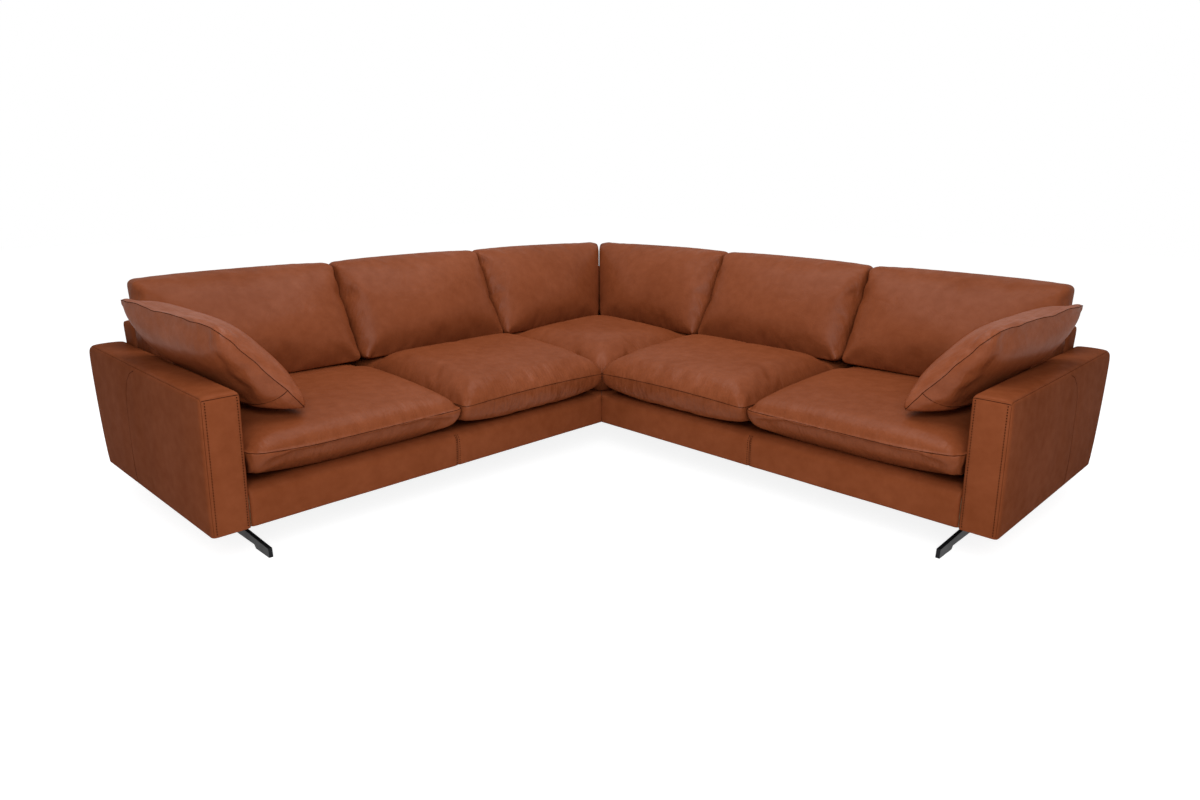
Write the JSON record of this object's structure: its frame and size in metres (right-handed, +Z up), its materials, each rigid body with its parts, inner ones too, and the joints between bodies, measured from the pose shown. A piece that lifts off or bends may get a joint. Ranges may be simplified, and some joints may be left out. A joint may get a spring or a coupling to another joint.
{
  "type": "sectional sofa",
  "caption": "Leather corner sofa with two equal wings, slim arms, loose seat and back cushions, a pillow leaning on each arm and low black blade legs.",
  "frame": {"origin": "centre of the bounding box at floor level", "axes": "+Z up; the outer corner points to -X +Y, the right wing runs along +X with its back towards +Y, and the left wing runs along -Y with its back towards -X"},
  "size_m": [2.8099, 2.8099, 0.8401],
  "materials": {
    "leather": "soft satin cognac-brown hide with a fine grain",
    "timber": "sawn pine and birch board, unfinished",
    "spring_steel": "dark drawn spring wire",
    "fastener_steel": "zinc-plated pressed steel",
    "deck_cloth": "dark felt and cloth",
    "dust_cloth": "black non-woven cloth",
    "webbing": "woven elastic strap",
    "felt": "pressed felt",
    "black_metal": "black satin powder coat",
    "black_plastic": "matt black moulded plastic"
  },
  "bodies": {
    "sofa_frame": {"arm_bolts": "fastener_steel", "back_webbing": "webbing", "connector_hooks": "fastener_steel", "connector_plates": "fastener_steel", "corner_deck": "deck_cloth", "corner_dust_cover": "dust_cloth", "corner_rails": "timber", "corner_seat_cushion": "leather", "corner_springs": "spring_steel", "glides": "felt", "left_arm_cover": "leather", "left_arm_frame": "timber", "left_back_cover": "leather", "left_back_frame": "timber", "left_corner_back_cover": "leather", "left_corner_back_frame": "timber", "left_cross_rails": "timber", "left_dust_cover": "dust_cloth", "left_front_apron": "leather", "left_front_leg": "black_metal", "left_front_rail": "timber", "left_rear_leg": "black_metal", "left_seat_deck": "deck_cloth", "left_seat_springs": "spring_steel", "left_spring_rail": "timber", "leg_screws": "fastener_steel", "right_arm_cover": "leather", "right_arm_frame": "timber", "right_back_cover": "leather", "right_back_frame": "timber", "right_corner_back_cover": "leather", "right_corner_back_frame": "timber", "right_cross_rails": "timber", "right_dust_cover": "dust_cloth", "right_front_apron": "leather", "right_front_leg": "black_metal", "right_front_rail": "timber", "right_rear_leg": "black_metal", "right_seat_deck": "deck_cloth", "right_seat_springs": "spring_steel", "right_spring_rail": "timber", "spring_clips": "fastener_steel", "support_feet": "black_plastic"},
    "right_end_seat": {"right_end_seat_cushion": "leather"},
    "right_mid_seat": {"right_mid_seat_cushion": "leather"},
    "right_end_back": {"right_end_back_cushion": "leather"},
    "right_mid_back": {"right_mid_back_cushion": "leather"},
    "right_corner_back": {"right_corner_back_cushion": "leather"},
    "right_pillow": {"right_arm_pillow": "leather"},
    "left_end_seat": {"left_end_seat_cushion": "leather"},
    "left_mid_seat": {"left_mid_seat_cushion": "leather"},
    "left_end_back": {"left_end_back_cushion": "leather"},
    "left_mid_back": {"left_mid_back_cushion": "leather"},
    "left_corner_back": {"left_corner_back_cushion": "leather"},
    "left_pillow": {"left_arm_pillow": "leather"}
  },
  "joints": [
    {"name": "right_end_seat_lift", "type": "slide", "parent": "sofa_frame", "child": "right_end_seat", "axis": [0, 0, 1], "range_m": [0, 0.35]},
    {"name": "right_mid_seat_lift", "type": "slide", "parent": "sofa_frame", "child": "right_mid_seat", "axis": [0, 0, 1], "range_m": [0, 0.35]},
    {"name": "right_end_back_lift", "type": "slide", "parent": "right_end_seat", "child": "right_end_back", "axis": [0, 0, 1], "range_m": [0, 0.45]},
    {"name": "right_mid_back_lift", "type": "slide", "parent": "right_mid_seat", "child": "right_mid_back", "axis": [0, 0, 1], "range_m": [0, 0.45]},
    {"name": "right_corner_back_lift", "type": "slide", "parent": "sofa_frame", "child": "right_corner_back", "axis": [0, 0, 1], "range_m": [0, 0.45]},
    {"name": "right_pillow_lift", "type": "slide", "parent": "right_end_back", "child": "right_pillow", "axis": [0, 0, 1], "range_m": [0, 0.45]},
    {"name": "left_end_seat_lift", "type": "slide", "parent": "sofa_frame", "child": "left_end_seat", "axis": [0, 0, 1], "range_m": [0, 0.35]},
    {"name": "left_mid_seat_lift", "type": "slide", "parent": "sofa_frame", "child": "left_mid_seat", "axis": [0, 0, 1], "range_m": [0, 0.35]},
    {"name": "left_end_back_lift", "type": "slide", "parent": "left_end_seat", "child": "left_end_back", "axis": [0, 0, 1], "range_m": [0, 0.45]},
    {"name": "left_mid_back_lift", "type": "slide", "parent": "left_mid_seat", "child": "left_mid_back", "axis": [0, 0, 1], "range_m": [0, 0.45]},
    {"name": "left_corner_back_lift", "type": "slide", "parent": "sofa_frame", "child": "left_corner_back", "axis": [0, 0, 1], "range_m": [0, 0.45]},
    {"name": "left_pillow_lift", "type": "slide", "parent": "left_end_back", "child": "left_pillow", "axis": [0, 0, 1], "range_m": [0, 0.45]}
  ]
}
